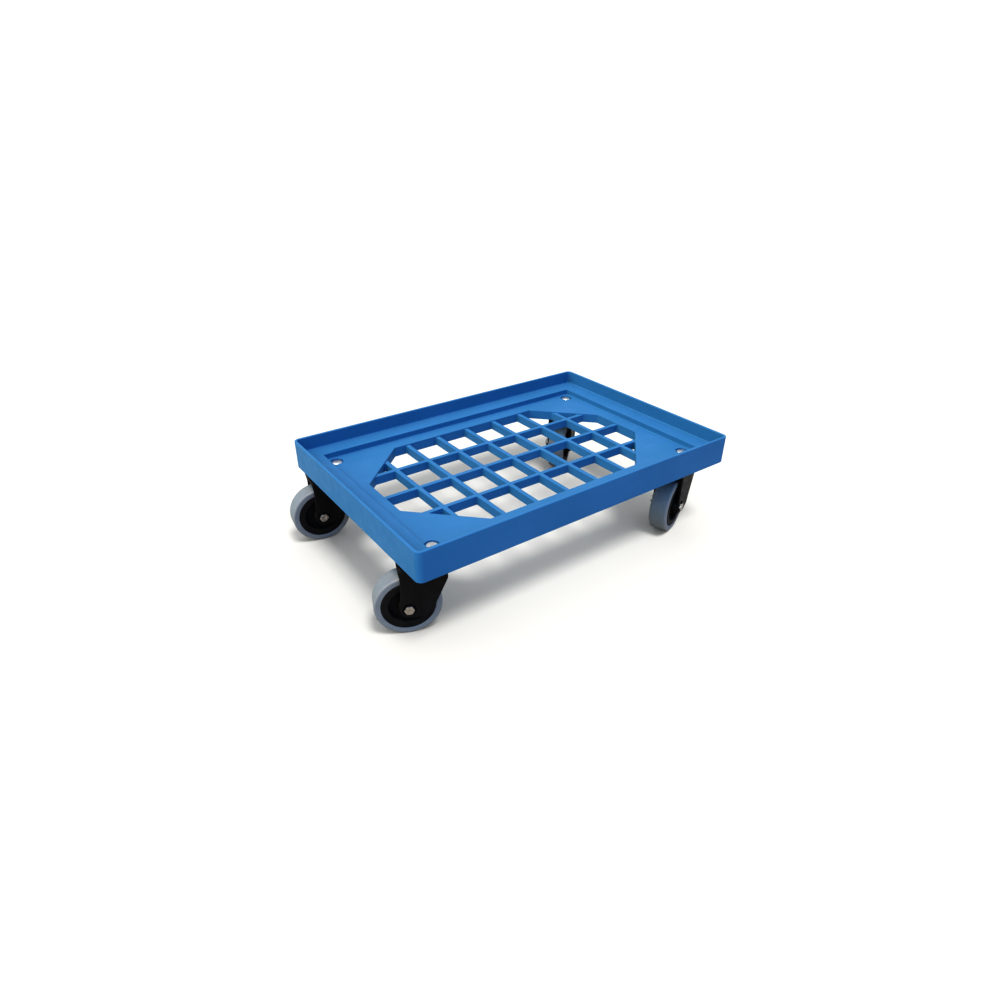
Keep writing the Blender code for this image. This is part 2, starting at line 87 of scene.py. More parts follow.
# Tray
TRAY_LENGTH = 610 * MM
TRAY_WIDTH = 410 * MM
TRAY_TOP = 168 * MM
TRAY_BOTTOM = 120 * MM
TRAY_CORNER_RADIUS = 10 * MM
WALL = 4.2 * MM
SHELL = 4 * MM
LEDGE_TOP = 144.4 * MM
LEDGE_REACH = 36 * MM
RECESS_CORNER_RADIUS = 3 * MM
FLOOR_TOP = 134.2 * MM
FLOOR_UNDERSIDE = FLOOR_TOP - SHELL
RIM_ROUND = 1.2 * MM
FILLET = 1.5 * MM

# Rib grid in the tray's eight-sided opening
OPENING_HALF_X = 245 * MM
OPENING_HALF_Y = 144 * MM
CHAMFER_X = 95.4 * MM
CHAMFER_Y = 94.3 * MM
OPENING_CORNER_RADIUS = 3 * MM
GRID_TOP = 132.2 * MM
GRID_BOTTOM = 117 * MM
RIB_PITCH_X = 61.7 * MM
RIB_PITCH_Y = 72.9 * MM
RIB_STEPS_X = (-3, -2, -1, 0, 1, 2, 3)
RIB_STEPS_Y = (-1, 0, 1)
RIB = 7.5 * MM
CELL_CORNER_RADIUS = 1.6 * MM
UNDER_RIB = 3 * MM
UNDER_RIB_BOTTOM = 128 * MM

# Kingpins and the holes round them
KINGPIN_X = 253.6 * MM
KINGPIN_Y = 153.3 * MM
KINGPIN_RADIUS = 5 * MM
KINGPIN_HEAD_RADIUS = 9.3 * MM
KINGPIN_HEX = 17 * MM
KINGPIN_NUT = 8 * MM
KINGPIN_BOTTOM = 91.6 * MM
COUNTERBORE_RADIUS = 11 * MM
COUNTERBORE_DEPTH = 3.5 * MM
BOSS_RADIUS = 23 * MM
BOSS_BOTTOM = 124 * MM
PIN_HOLE_X = 293.4 * MM
PIN_HOLE_Y = 175.5 * MM
PIN_HOLE_RADIUS = 2 * MM

# Swivel bearing, from the tray down
TOP_CUP_TOP = 123.7 * MM
TOP_CUP_UNDERSIDE = 120.7 * MM
TOP_CUP_RADIUS = 26 * MM
TOP_BALL_RADIUS = 2.4 * MM
TOP_BALL_CIRCLE = 18 * MM
TOP_BALLS = 22
CROWN_TOP = 115.3 * MM
CROWN_UNDERSIDE = 111.3 * MM
LOWER_BALL_RADIUS = 2 * MM
LOWER_BALL_CIRCLE = 13 * MM
LOWER_BALLS = 18
LOWER_CUP_TOP = 106.7 * MM
LOWER_CUP_UNDERSIDE = 103.7 * MM
LOWER_CUP_RADIUS = 16.5 * MM
NECK_RADIUS = 9 * MM
WASHER_RADIUS = 10 * MM
WASHER_THICKNESS = 1.5 * MM

# Fork
TRAIL = 38.4 * MM
FORK_WALL = 4 * MM
FORK_HALF_WIDTH = 24 * MM
FORK_BEND = 6 * MM
FORK_EDGE = 1 * MM
CROWN_RADIUS = 26 * MM
CROWN_BORE = 12 * MM
POCKET_RADIUS = 10 * MM
POCKET_DEPTH = 2 * MM
POCKET_ROUND = 0.5 * MM

# Wheel
WHEEL_RADIUS = 48 * MM
TYRE_HALF_WIDTH = 15.3 * MM
TYRE_SHOULDER = 3.2 * MM
RIM_FLANGE_RADIUS = 38.1 * MM
RIM_SEAT_RADIUS = 36 * MM
RIM_FLANGE_INNER = 28 * MM
RIM_HALF_WIDTH = 15.6 * MM
RIM_FLANGE_WIDTH = 4 * MM
WEB_HALF_WIDTH = 6 * MM
HUB_RADIUS = 13 * MM
HUB_HALF_WIDTH = 18.5 * MM
BUSHING_RADIUS = 8.7 * MM
BUSHING_HALF_WIDTH = 18 * MM
SLEEVE_RADIUS = 6 * MM
AXLE_RADIUS = 4 * MM
AXLE_HEX = 13 * MM
AXLE_SEAT = FORK_HALF_WIDTH - POCKET_DEPTH + GAP
AXLE_HEAD = 4.6 * MM
AXLE_NUT = 6.5 * MM
AXLE_END = 30 * MM


# Outlines, as counter-clockwise lists of 2-D points


def rounded_outline(corners, radii, steps=CORNER_STEPS):
    """The polygon of these corners, each rounded to its radius where that isn't 0."""
    points = []
    for i, corner in enumerate(corners):
        here = Vector(corner)
        back = (Vector(corners[i - 1]) - here).normalized()
        ahead = (Vector(corners[(i + 1) % len(corners)]) - here).normalized()
        if radii[i] == 0:
            points.append(here)
            continue
        half_angle = back.angle(ahead) / 2
        tangent = radii[i] / tan(half_angle)
        centre = here + (back + ahead).normalized() * (radii[i] / sin(half_angle))
        start = here + back * tangent - centre
        sweep = start.angle_signed(here + ahead * tangent - centre)
        for step in range(steps + 1):
            points.append(centre + Matrix.Rotation(-sweep * step / steps, 2) @ start)
    return points


def rectangle(half_x, half_y, radius=0.0):
    corners = [(-half_x, -half_y), (half_x, -half_y), (half_x, half_y), (-half_x, half_y)]
    return rounded_outline(corners, [radius] * 4)


def octagon(grow=0.0):
    """The opening's corners, with every side moved out by grow."""
    slope = hypot(CHAMFER_X, CHAMFER_Y)
    cut_x = CHAMFER_X + grow * (1 + (CHAMFER_X - slope) / CHAMFER_Y)
    cut_y = CHAMFER_Y + grow * (1 + (CHAMFER_Y - slope) / CHAMFER_X)
    x, y = OPENING_HALF_X + grow, OPENING_HALF_Y + grow
    right = [(x - cut_x, -y), (x, cut_y - y), (x, y - cut_y), (x - cut_x, y)]
    left = [(-px, py) for px, py in reversed(right)]
    return [Vector(point) for point in right + left]


def circle(radius, steps, centre=(0, 0)):
    turns = [2 * pi * step / steps for step in range(steps)]
    return [Vector((centre[0] + radius * cos(turn), centre[1] + radius * sin(turn))) for turn in turns]


def round_hole(radius, centre):
    return lambda grow: circle(radius + grow, HOLE_STEPS, centre)


def box(low_x, high_x, low_y, high_y):
    return [Vector(p) for p in ((low_x, low_y), (high_x, low_y), (high_x, high_y), (low_x, high_y))]


def at_corners(x, y):
    return [(sign_x * x, sign_y * y) for sign_x in (-1, 1) for sign_y in (-1, 1)]


def clipped(polygon, limit):
    """The part of a convex polygon that lies inside another."""
    for i, start in enumerate(limit):
        edge = limit[(i + 1) % len(limit)] - start
        normal = Vector((-edge.y, edge.x)).normalized()
        kept = []
        for j, point in enumerate(polygon):
            before = polygon[j - 1]
            here, last = (point - start).dot(normal), (before - start).dot(normal)
            if (here > 0) != (last > 0):
                kept.append(before.lerp(point, last / (last - here)))
            if here > 0:
                kept.append(point)
        polygon = kept
    return polygon


def inset(polygon, depths):
    """A convex polygon with each side, counted from its first corner, moved in by its own depth."""
    corners = []
    for i, here in enumerate(polygon):
        into = (here - polygon[i - 1]).normalized()
        out = (polygon[(i + 1) % len(polygon)] - here).normalized()
        corners.append(here + (out * depths[i - 1] - into * depths[i]) / into.cross(out))
    return corners


# Solids, as objects that are used up when their mesh is taken


def finish_solid(bm):
    bmesh.ops.recalc_face_normals(bm, faces=bm.faces)
    mesh = bpy.data.meshes.new("solid")
    bm.to_mesh(mesh)
    bm.free()
    made = bpy.data.objects.new("solid", mesh)
    bpy.context.scene.collection.objects.link(made)
    return made


def add_loft(bm, rings):
    """A closed skin through rings of 3-D points, all of one length, capped at both ends."""
    layers = [[bm.verts.new(point) for point in ring] for ring in rings]
    for low, high in zip(layers, layers[1:]):
        for i, corner in enumerate(low):
            bm.faces.new((low[i - 1], corner, high[i], high[i - 1]))
    bm.faces.new(reversed(layers[0]))
    bm.faces.new(layers[-1])


def at_height(outline, height):
    return [(point.x, point.y, height) for point in outline]


def prisms(outlines, low, high):
    bm = bmesh.new()
    for outline in outlines:
        add_loft(bm, [at_height(outline, low), at_height(outline, high)])
    return finish_solid(bm)


def quarter(radius):
    """Points round a quarter circle that starts along the first direction and ends across it."""
    turns = [pi / 2 * step / ROUND_STEPS for step in range(ROUND_STEPS + 1)]
    return [(radius * sin(turn), radius * (1 - cos(turn))) for turn in turns]


def rounded_block(outline_at, low, high, low_round, high_round):
    """A solid with its bottom and top edges rounded. outline_at(grow) is its outline moved out by grow."""
    levels = [(-across, low + low_round - along) for along, across in reversed(quarter(low_round))]
    levels += [(-across, high - high_round + along) for along, across in quarter(high_round)]
    bm = bmesh.new()
    add_loft(bm, [at_height(outline_at(grow), height) for grow, height in levels])
    return finish_solid(bm)


def pockets(outlines_at, bottom, mouth, fillet, mouth_round):
    """Cutters for pockets with a fillet round the bottom and a rounded edge at the mouth."""
    levels = [(-across, bottom + fillet - along) for along, across in reversed(quarter(fillet))]
    levels += [(across, mouth - mouth_round + along) for along, across in quarter(mouth_round)]
    levels.append((mouth_round, mouth + MM))
    bm = bmesh.new()
    for outline_at in outlines_at:
        add_loft(bm, [at_height(outline_at(grow), height) for grow, height in levels])
    return finish_solid(bm)


def turned(profile, steps=TURNED_STEPS, closed=True):
    """A solid turned about Z from (radius, height) points. An open profile starts and ends on the axis."""
    bm = bmesh.new()
    verts = [bm.verts.new((radius, 0, height)) for radius, height in profile]
    edges = [bm.edges.new(pair) for pair in zip(verts, verts[1:])]
    if closed:
        edges.append(bm.edges.new((verts[-1], verts[0])))
    bmesh.ops.spin(
        bm, geom=verts + edges, cent=(0, 0, 0), axis=(0, 0, 1), angle=2 * pi, steps=steps, use_merge=True
    )
    bmesh.ops.remove_doubles(bm, verts=bm.verts, dist=1e-6)
    return finish_solid(bm)


def combine(target, tool, operation):
    modifier = target.modifiers.new("combine", "BOOLEAN")
    modifier.operation = operation
    modifier.object = tool
    modifier.solver = "EXACT"
    tool.hide_render = True
    tool.parent = target
    return target


def take_mesh(solid, name, sharp=35):
    """The solid's finished mesh, shaded smooth except at edges sharper than this many degrees."""
    graph = bpy.context.evaluated_depsgraph_get()
    mesh = bpy.data.meshes.new_from_object(solid.evaluated_get(graph))
    mesh.name = name
    for used in [*solid.children_recursive, solid]:
        bpy.data.objects.remove(used)
    mesh.shade_smooth()
    mesh.set_sharp_from_angle(angle=radians(sharp))
    return mesh


# Tray


def add_cell(bm, tile, limit):
    """One tile of the rib grid: a hole with rounded corners and edges, and half of each rib round it."""
    depths = []
    for i, start in enumerate(tile):
        middle = (start + tile[(i + 1) % len(tile)]) / 2
        sides = zip(limit, limit[1:] + limit[:1])
        on_wall = any(abs((b - a).normalized().cross(middle - a)) < 1e-6 for a, b in sides)
        # Beside the wall of the opening the hole stands proud of it by a hair, so the two never coincide.
        depths.append(SHELL / 2 + 0.05 * MM if on_wall else RIB / 2)
    levels = [(across, GRID_BOTTOM + EDGE_ROUND - along) for along, across in reversed(quarter(EDGE_ROUND))]
    levels += [(across, GRID_TOP - EDGE_ROUND + along) for along, across in quarter(EDGE_ROUND)]
    layers = []
    for grow, height in levels:
        corners = inset(tile, [depth - grow for depth in depths])
        hole = rounded_outline(corners, [CELL_CORNER_RADIUS + grow] * len(tile), ROUND_STEPS)
        layers.append([bm.verts.new(point) for point in at_height(hole, height)])
    for low, high in zip(layers, layers[1:]):
        for i, corner in enumerate(low):
            bm.faces.new((low[i - 1], corner, high[i], high[i - 1]))
    for hole, height in ((layers[0], GRID_BOTTOM), (layers[-1], GRID_TOP)):
        frame_verts = [bm.verts.new(point) for point in at_height(tile, height)]
        arc = ROUND_STEPS + 1
        for i, corner in enumerate(frame_verts):
            for step in range(ROUND_STEPS):
                bm.faces.new((corner, hole[i * arc + step], hole[i * arc + step + 1]))
            start, end = hole[i * arc + ROUND_STEPS], hole[(i + 1) * arc % len(hole)]
            bm.faces.new((corner, start, end, frame_verts[(i + 1) % len(tile)]))


def rib_grid():
    """The ribs as one solid, tile by tile, out to the middle of the opening's wall."""
    limit = octagon(SHELL / 2)
    lines_x = [-TRAY_LENGTH, *(step * RIB_PITCH_X for step in RIB_STEPS_X), TRAY_LENGTH]
    lines_y = [-TRAY_WIDTH, *(step * RIB_PITCH_Y for step in RIB_STEPS_Y), TRAY_WIDTH]
    bm = bmesh.new()
    for low_x, high_x in zip(lines_x, lines_x[1:]):
        for low_y, high_y in zip(lines_y, lines_y[1:]):
            add_cell(bm, clipped(box(low_x, high_x, low_y, high_y), limit), limit)
    bmesh.ops.remove_doubles(bm, verts=bm.verts, dist=1e-6)
    bmesh.ops.bridge_loops(bm, edges=[edge for edge in bm.edges if edge.is_boundary])
    return finish_solid(bm)


def tray_hollow():
    """The space under the tray: all that lies inside its walls, less what carries load."""
    over = MM
    inner_x, inner_y = TRAY_LENGTH / 2 - WALL, TRAY_WIDTH / 2 - WALL
    inside = rectangle(inner_x, inner_y, TRAY_CORNER_RADIUS - WALL)
    hollow = prisms([inside], TRAY_BOTTOM - over, LEDGE_TOP - SHELL)
    step_x, step_y = TRAY_LENGTH / 2 - LEDGE_REACH + SHELL, TRAY_WIDTH / 2 - LEDGE_REACH + SHELL
    combine(hollow, prisms([rectangle(step_x, step_y)], FLOOR_UNDERSIDE, LEDGE_TOP), "DIFFERENCE")
    combine(hollow, prisms([octagon(SHELL)], TRAY_BOTTOM - 2 * over, FLOOR_TOP), "DIFFERENCE")
    bosses = [circle(BOSS_RADIUS, 64, centre) for centre in at_corners(KINGPIN_X, KINGPIN_Y)]
    combine(hollow, prisms(bosses, BOSS_BOTTOM, LEDGE_TOP), "DIFFERENCE")
    half = UNDER_RIB / 2
    end_x, end_y = inner_x + half, inner_y + half
    lines_x = [step * RIB_PITCH_X for step in RIB_STEPS_X]
    lines_y = [step * RIB_PITCH_Y for step in RIB_STEPS_Y]
    across = [box(x - half, x + half, -end_y, end_y) for x in lines_x]
    along = [box(-end_x, end_x, y - half, y + half) for y in lines_y]
    for x, y in at_corners(KINGPIN_X, KINGPIN_Y):
        out_x = end_x if x > 0 else -end_x
        out_y = end_y if y > 0 else -end_y
        across.append(box(x - half, x + half, min(y, out_y), max(y, out_y)))
        along.append(box(min(x, out_x), max(x, out_x), y - half, y + half))
    for ribs in (across, along):
        combine(hollow, prisms(ribs, UNDER_RIB_BOTTOM, LEDGE_TOP), "DIFFERENCE")
    return hollow


def tray_mesh():
    half_x, half_y = TRAY_LENGTH / 2, TRAY_WIDTH / 2

    def outside(grow):
        return rectangle(half_x + grow, half_y + grow, TRAY_CORNER_RADIUS + grow)

    def seat(grow):
        return rectangle(half_x - WALL + grow, half_y - WALL + grow, TRAY_CORNER_RADIUS - WALL + grow)

    def recess(grow):
        reach = LEDGE_REACH - grow
        return rectangle(half_x - reach, half_y - reach, RECESS_CORNER_RADIUS + grow)

    def opening(grow):
        return rounded_outline(octagon(grow), [OPENING_CORNER_RADIUS + grow] * 8)

    kingpins = at_corners(KINGPIN_X, KINGPIN_Y)
    sinks = [round_hole(COUNTERBORE_RADIUS, centre) for centre in kingpins]
    pins = [round_hole(PIN_HOLE_RADIUS, centre) for centre in at_corners(PIN_HOLE_X, PIN_HOLE_Y)]
    bores = [circle(KINGPIN_RADIUS + GAP, BORE_STEPS, centre) for centre in kingpins]
    tray = rounded_block(outside, TRAY_BOTTOM, TRAY_TOP, EDGE_ROUND, RIM_ROUND)
    cutters = [
        pockets([seat], LEDGE_TOP, TRAY_TOP, FILLET, RIM_ROUND),
        pockets([recess], FLOOR_TOP, LEDGE_TOP, FILLET, EDGE_ROUND),
        prisms(bores, TRAY_BOTTOM, FLOOR_TOP),
        pockets(sinks, FLOOR_TOP - COUNTERBORE_DEPTH, FLOOR_TOP, 0.3 * MM, 0.6 * MM),
        pockets(pins, FLOOR_TOP + MM, LEDGE_TOP, 0.2 * MM, 0.4 * MM),
        tray_hollow(),
    ]
    for cutter in cutters:
        combine(tray, cutter, "DIFFERENCE")
    combine(tray, prisms([octagon(SHELL)], GRID_BOTTOM, FLOOR_UNDERSIDE), "UNION")
    combine(tray, pockets([opening], GRID_BOTTOM - MM, FLOOR_TOP, 0.1 * MM, EDGE_ROUND), "DIFFERENCE")
    combine(tray, rib_grid(), "UNION")
    return take_mesh(tray, "tray")


# Fasteners and bearings, about their own axis


def thread(radius, low, high, pitch):
    """Points up the side of a threaded rod, as one groove for each pitch."""
    points = []
    for turn in range(int((high - low) / pitch)):
        start = low + turn * pitch
        points += [(radius, start + 0.15 * pitch), (radius - 0.55 * pitch, start + 0.5 * pitch)]
        points += [(radius, start + 0.85 * pitch)]
    return points


def hexagon_solid(across_flats, low, high):
    """A hexagon whose corners are turned off at both ends."""
    radius = across_flats / 2 / cos(pi / 6)
    flat = across_flats / 2 * 0.95
    drop = 0.9 * MM
    profile = [(0, low), (flat, low), (radius, low + drop), (radius, high - drop), (flat, high), (0, high)]
    solid = turned(profile, 72, closed=False)
    return combine(solid, prisms([circle(radius, 6)], low - MM, high + MM), "INTERSECT")


def nut_mesh(across_flats, bore, low, high):
    """A locking nut, low side first: the hexagon, then the round collar that holds its nylon ring."""
    collar = 0.25 * (high - low)
    solid = hexagon_solid(across_flats, low, high - collar)
    outer = across_flats / 2 * 0.93
    ring = [(0, high - collar - MM), (outer, high - collar - MM), (outer, high - 1.2 * MM)]
    ring += [(outer - 0.5 * MM, high - 0.3 * MM), (outer - 1.4 * MM, high), (0, high)]
    combine(solid, turned(ring, 72, closed=False), "UNION")
    lip = 0.5 * MM
    hole = [(0, low - MM), (bore + lip + MM, low - MM), (bore, low + lip), (bore, high - lip)]
    hole += [(bore + lip + MM, high + MM), (0, high + MM)]
    combine(solid, turned(hole, 48, closed=False), "DIFFERENCE")
    return take_mesh(solid, "lock_nut")


def axle_bolt_mesh():
    """The hexagon-headed bolt across the fork, with a shallow dimple in its head and a threaded end."""
    top = AXLE_SEAT + AXLE_HEAD
    head = hexagon_solid(AXLE_HEX, AXLE_SEAT, top)
    above = top + 0.2 * MM
    dimple = [(0, top - 0.7 * MM), (2.2 * MM, top - 0.6 * MM), (3.6 * MM, above), (0, above)]
    combine(head, turned(dimple, 48, closed=False), "DIFFERENCE")
    shank = [(0, -AXLE_END), (AXLE_RADIUS - 0.8 * MM, -AXLE_END), (AXLE_RADIUS, -AXLE_END + 0.7 * MM)]
    shank += thread(AXLE_RADIUS, -AXLE_END + 0.8 * MM, -FORK_HALF_WIDTH + 2 * MM, 1.25 * MM)
    shank += [(AXLE_RADIUS, AXLE_SEAT + MM), (0, AXLE_SEAT + MM)]
    combine(head, turned(shank, 48, closed=False), "UNION")
    return take_mesh(head, "axle_bolt")


def kingpin_mesh():
    """The kingpin, with its shallow domed head at the top and a threaded lower end."""
    seat = FLOOR_TOP - COUNTERBORE_DEPTH + GAP
    radius = KINGPIN_HEAD_RADIUS
    profile = [(0, KINGPIN_BOTTOM), (KINGPIN_RADIUS - MM, KINGPIN_BOTTOM)]
    profile += thread(KINGPIN_RADIUS, KINGPIN_BOTTOM + 0.8 * MM, LOWER_CUP_UNDERSIDE, 1.5 * MM)
    profile += [(KINGPIN_RADIUS, seat), (radius - 0.2 * MM, seat), (radius, seat + 0.2 * MM)]
    profile += [(radius, seat + 1 * MM), (radius * 0.97, seat + 1.5 * MM)]
    for step in range(1, 8):
        share = step / 7
        profile.append((radius * 0.92 * cos(share * pi / 2), seat + (1.9 + 1.5 * sin(share * pi / 2)) * MM))
    profile[-1] = (0, profile[-1][1])
    return take_mesh(turned(profile, 64, closed=False), "kingpin")


def ring_mesh(name, corners, radii, steps=TURNED_STEPS):
    """A ring turned from the closed (radius, height) polygon of these corners, each rounded."""
    return take_mesh(turned(rounded_outline(corners, radii, ROUND_STEPS), steps), name)


def top_cup_mesh():
    skirt = 2.5 * MM
    bore = KINGPIN_RADIUS + GAP
    corners = [
        (bore, LOWER_CUP_TOP + GAP),
        (NECK_RADIUS, LOWER_CUP_TOP + GAP),
        (NECK_RADIUS, TOP_CUP_UNDERSIDE),
        (TOP_CUP_RADIUS - skirt, TOP_CUP_UNDERSIDE),
        (TOP_CUP_RADIUS - skirt, CROWN_TOP + MM),
        (TOP_CUP_RADIUS, CROWN_TOP + MM),
        (TOP_CUP_RADIUS, TOP_CUP_TOP),
        (bore, TOP_CUP_TOP),
    ]
    return ring_mesh("top_cup", corners, [0.3 * MM, 0.4 * MM, MM, MM, 0.4 * MM, 0.4 * MM, 2 * MM, 0.3 * MM])


def lower_cup_mesh():
    lip = 1.2 * MM
    bore = KINGPIN_RADIUS + GAP
    corners = [
        (bore, LOWER_CUP_UNDERSIDE),
        (LOWER_CUP_RADIUS, LOWER_CUP_UNDERSIDE),
        (LOWER_CUP_RADIUS, CROWN_UNDERSIDE - MM),
        (LOWER_CUP_RADIUS - lip, CROWN_UNDERSIDE - MM),
        (LOWER_CUP_RADIUS - lip, LOWER_CUP_TOP),
        (bore, LOWER_CUP_TOP),
    ]
    return ring_mesh("lower_cup", corners, [0.3 * MM, 2 * MM, 0.4 * MM, 0.4 * MM, 0.8 * MM, 0.3 * MM])


def tube_mesh(name, inner, outer, low, high, edge=0.4 * MM):
    corners = [(inner, low), (outer, low), (outer, high), (inner, high)]
    return ring_mesh(name, corners, [edge] * 4, 64)


def ball_ring_mesh(name, circle_radius, ball_radius, height, count):
    """The loose balls of one raceway, held apart by a thin cage."""
    bm = bmesh.new()
    for centre in circle(circle_radius, count):
        place = Matrix.Translation((centre.x, centre.y, height))
        bmesh.ops.create_icosphere(bm, subdivisions=2, radius=ball_radius, matrix=place)
    balls = finish_solid(bm)
    half = 0.45 * ball_radius
    cage = [(circle_radius - half, height - half), (circle_radius + half, height - half)]
    cage += [(circle_radius + half, height + half), (circle_radius - half, height + half)]
    return take_mesh(combine(balls, turned(cage, 64), "UNION"), name)


# Fork: its own X runs from the kingpin towards the wheel


def leg_outline():
    """The fork leg seen from the side, as (distance behind the kingpin, height) points."""
    axle = WHEEL_RADIUS
    corners = [
        (-17 * MM, CROWN_TOP + MM),
        (-17 * MM, axle + 45 * MM),
        (2 * MM, axle + 3 * MM),
        (4 * MM, axle - 6 * MM),
        (19 * MM, axle - 15 * MM),
        (TRAIL + 12 * MM, axle - 13 * MM),
        (TRAIL + 10 * MM, axle + 50 * MM),
        (TRAIL + 13 * MM, CROWN_TOP + MM),
    ]
    return rounded_outline(corners, [0, 12 * MM, 12 * MM, 9 * MM, 12 * MM, 11 * MM, 20 * MM, 0], 8)


def fork_mesh():
    # Outlines are drawn in (x, y) and raised along z. These turn them to (y, z) raised along x, and
    # to (x, z) raised along -y or, for an outline drawn upside down, along y.
    stand_up = Matrix(((0, 0, 1, 0), (1, 0, 0, 0), (0, 1, 0, 0), (0, 0, 0, 1)))
    to_near_side = Matrix(((1, 0, 0, 0), (0, 0, -1, 0), (0, 1, 0, 0), (0, 0, 0, 1)))
    to_far_side = Matrix(((1, 0, 0, 0), (0, 0, 1, 0), (0, -1, 0, 0), (0, 0, 0, 1)))

    def turn(solid, how):
        solid.data.transform(how)
        return solid

    outer, inner = FORK_HALF_WIDTH, FORK_HALF_WIDTH - FORK_WALL
    foot = 20 * MM
    outside = [(-outer, foot), (outer, foot), (outer, CROWN_TOP), (-outer, CROWN_TOP)]
    inside = [(-inner, foot - MM), (inner, foot - MM), (inner, CROWN_UNDERSIDE), (-inner, CROWN_UNDERSIDE)]
    bend = FORK_BEND - FORK_WALL
    front, rear = -30 * MM, TRAIL + 30 * MM
    fork = turn(prisms([rounded_outline(outside, [0, 0, FORK_BEND, FORK_BEND])], front, rear), stand_up)
    slot = prisms([rounded_outline(inside, [0, 0, bend, bend])], front - MM, rear + MM)
    combine(fork, turn(slot, stand_up), "DIFFERENCE")
    wide = outer + 5 * MM
    combine(fork, turn(prisms([leg_outline()], -wide, wide), to_near_side), "INTERSECT")
    edges = fork.modifiers.new("edges", "BEVEL")
    edges.width = FORK_EDGE
    edges.segments = 3
    edges.limit_method = "ANGLE"
    edges.angle_limit = radians(40)

    def crown(grow):
        return circle(CROWN_RADIUS + grow, 72)

    combine(fork, rounded_block(crown, CROWN_UNDERSIDE, CROWN_TOP, FORK_EDGE, FORK_EDGE), "UNION")
    combine(fork, prisms([circle(CROWN_BORE, 48)], CROWN_UNDERSIDE - MM, CROWN_TOP + MM), "DIFFERENCE")
    axle = (TRAIL, WHEEL_RADIUS)
    hole = prisms([circle(AXLE_RADIUS + GAP, BORE_STEPS, axle)], -wide, wide)
    combine(fork, turn(hole, to_near_side), "DIFFERENCE")
    for way, height in ((to_near_side, WHEEL_RADIUS), (to_far_side, -WHEEL_RADIUS)):
        mouth = round_hole(POCKET_RADIUS, (TRAIL, height))
        seat = pockets([mouth], outer - POCKET_DEPTH, outer, POCKET_ROUND, POCKET_ROUND)
        combine(fork, turn(seat, way), "DIFFERENCE")
    return take_mesh(fork, "fork", 50)


# Wheel, about its own axle


def tyre_mesh():
    edge = RIM_HALF_WIDTH - RIM_FLANGE_WIDTH - GAP
    side = [
        (RIM_SEAT_RADIUS + GAP, edge),
        (RIM_FLANGE_RADIUS + GAP, edge),
        (RIM_FLANGE_RADIUS + GAP, TYRE_HALF_WIDTH),
        (WHEEL_RADIUS, TYRE_HALF_WIDTH),
    ]
    corners = side + [(radius, -height) for radius, height in reversed(side)]
    radii = [0, 0, MM, TYRE_SHOULDER]
    return take_mesh(turned(rounded_outline(corners, radii + radii[::-1], 8), WHEEL_STEPS), "tyre")


def rim_mesh():
    """The moulded wheel centre: a seat for the tyre, two flanges, a thin web and the hub."""
    inner_edge = RIM_HALF_WIDTH - RIM_FLANGE_WIDTH
    side = [
        (BUSHING_RADIUS + GAP, HUB_HALF_WIDTH),
        (HUB_RADIUS, HUB_HALF_WIDTH),
        (HUB_RADIUS + 1.5 * MM, WEB_HALF_WIDTH),
        (RIM_FLANGE_INNER - 1.5 * MM, WEB_HALF_WIDTH),
        (RIM_FLANGE_INNER, RIM_HALF_WIDTH),
        (RIM_FLANGE_RADIUS, RIM_HALF_WIDTH),
        (RIM_FLANGE_RADIUS, inner_edge),
        (RIM_SEAT_RADIUS, inner_edge),
    ]
    corners = side + [(radius, -height) for radius, height in reversed(side)]
    radii = [0.6 * MM, 1.2 * MM, 3 * MM, 3 * MM, 1.5 * MM, MM, 0, 0]
    return ring_mesh("wheel_centre", corners, radii + radii[::-1], WHEEL_STEPS)


# Materials


